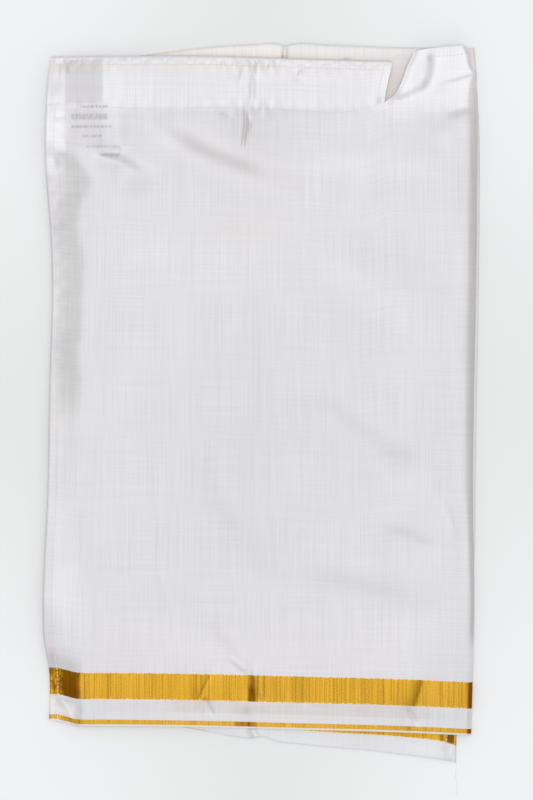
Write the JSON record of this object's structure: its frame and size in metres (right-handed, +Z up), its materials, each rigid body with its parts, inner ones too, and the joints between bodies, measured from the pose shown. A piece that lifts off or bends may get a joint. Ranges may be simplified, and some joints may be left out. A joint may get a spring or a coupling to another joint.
{
  "type": "folded child's dhoti cloth",
  "caption": "White silk dhoti with a woven gold border and a sewn waist casing, folded flat into a rectangular pack.",
  "frame": {"origin": "middle of the footprint, on the surface that the folded cloth lies on", "axes": "+Y to the waist edge (the long side of the pack), +X to the folded right side, +Z up through the layers"},
  "size_m": [0.2712, 0.446, 0.0121],
  "materials": {
    "silk": "white slubbed silk, plain weave, soft sheen",
    "zari": "gold metallic thread woven into the silk, satin gloss",
    "label_satin": "thin white satin ribbon"
  },
  "bodies": {
    "root": {"folded_layers": "silk", "front_panel": "silk", "front_border_band": "zari", "front_border_ground": "silk", "front_border_line": "zari", "front_selvedge": "silk", "side_hem": "silk", "waist_casing": "silk", "corner_flap": "silk", "care_label": "label_satin", "back_border_ground": "silk", "back_border_band": "zari", "back_panel": "silk", "back_waist_casing": "silk", "back_side_hem": "silk"}
  },
  "joints": []
}
